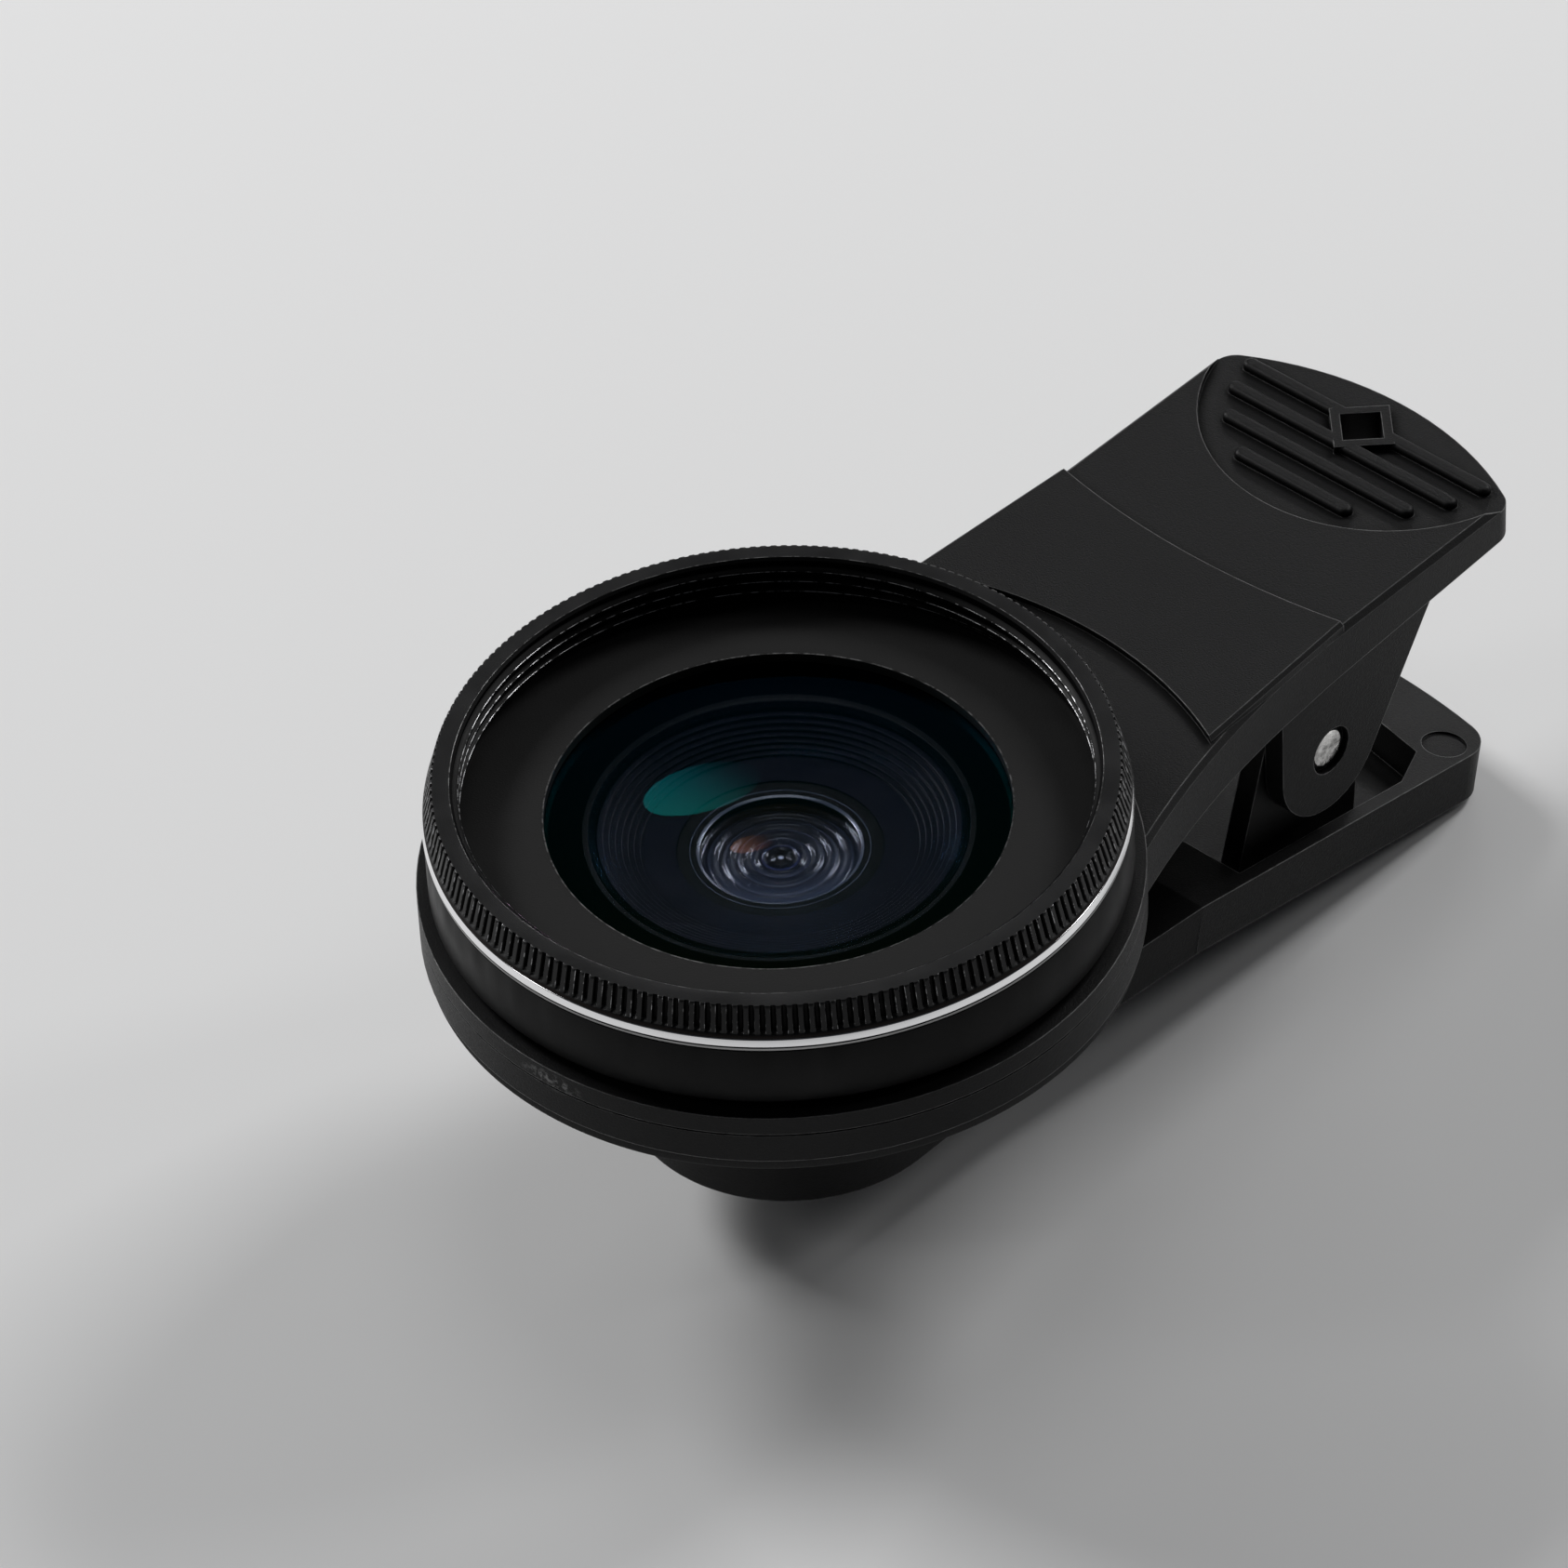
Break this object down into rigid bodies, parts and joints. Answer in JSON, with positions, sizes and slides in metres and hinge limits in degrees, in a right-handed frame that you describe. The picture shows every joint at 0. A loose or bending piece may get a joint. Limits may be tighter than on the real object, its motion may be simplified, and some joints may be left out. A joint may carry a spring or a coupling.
{
  "type": "clip-on phone lens",
  "caption": "Wide-angle lens in a sprung plastic clip that grips the edge of a phone. The jaws open about a steel pin, and the lens unscrews from the clip's ring.",
  "frame": {"origin": "on the lens axis, in the plane of the ring pad's face that touches the phone", "axes": "+Z along the lens axis, to the front of the lens; +X from the lens along the arm to the hinge and the handles"},
  "size_m": [0.0762, 0.042, 0.03],
  "materials": {
    "black_anodised": "matte anodised",
    "bright_aluminium": "bright turned",
    "coated_glass": "coated",
    "baffle_plastic": "fine ring grooves",
    "black_plastic": "fine spark-eroded grain",
    "black_rubber": "matte",
    "steel": "bright drawn"
  },
  "bodies": {
    "clip": {"upper_lever": "black_plastic", "socket_ring": "black_anodised", "ring_pad": "black_rubber", "hinge_pin": "steel", "torsion_spring": "steel"},
    "jaw": {"lower_lever": "black_plastic", "jaw_pad": "black_rubber"},
    "lens_rear": {"rear_lens_element": "coated_glass", "rear_retaining_ring": "black_anodised"},
    "lens": {"front_ring": "black_anodised", "silver_trim_ring": "bright_aluminium", "lens_barrel": "black_anodised", "front_retaining_plate": "black_anodised", "front_lens_element": "coated_glass", "baffle_cone": "baffle_plastic", "inner_retaining_ring": "black_anodised", "middle_lens_element": "coated_glass", "lens_spacer_ring": "black_anodised", "mount_ring": "black_anodised"}
  },
  "joints": [
    {"name": "jaw_hinge", "type": "hinge", "parent": "clip", "child": "jaw", "pos_m": [0.0366, 0, -0.0058], "axis": [0, -1, 0], "range_deg": [-10, 30], "stiffness_Nm_per_rad": 0.3, "deforming": ["torsion_spring"]},
    {"name": "lens_rise", "type": "slide", "parent": "clip", "child": "lens_rear", "axis": [0, 0, 1], "range_m": [0, 0.003]},
    {"name": "lens_turn", "type": "hinge", "parent": "lens_rear", "child": "lens", "pos_m": [0, 0, 0], "axis": [0, 0, 1], "range_deg": [0, 1440]}
  ],
  "couplings": [
    {"joint": "lens_rise", "follows": "lens_turn", "m_per_rad": 0.00011936}
  ]
}
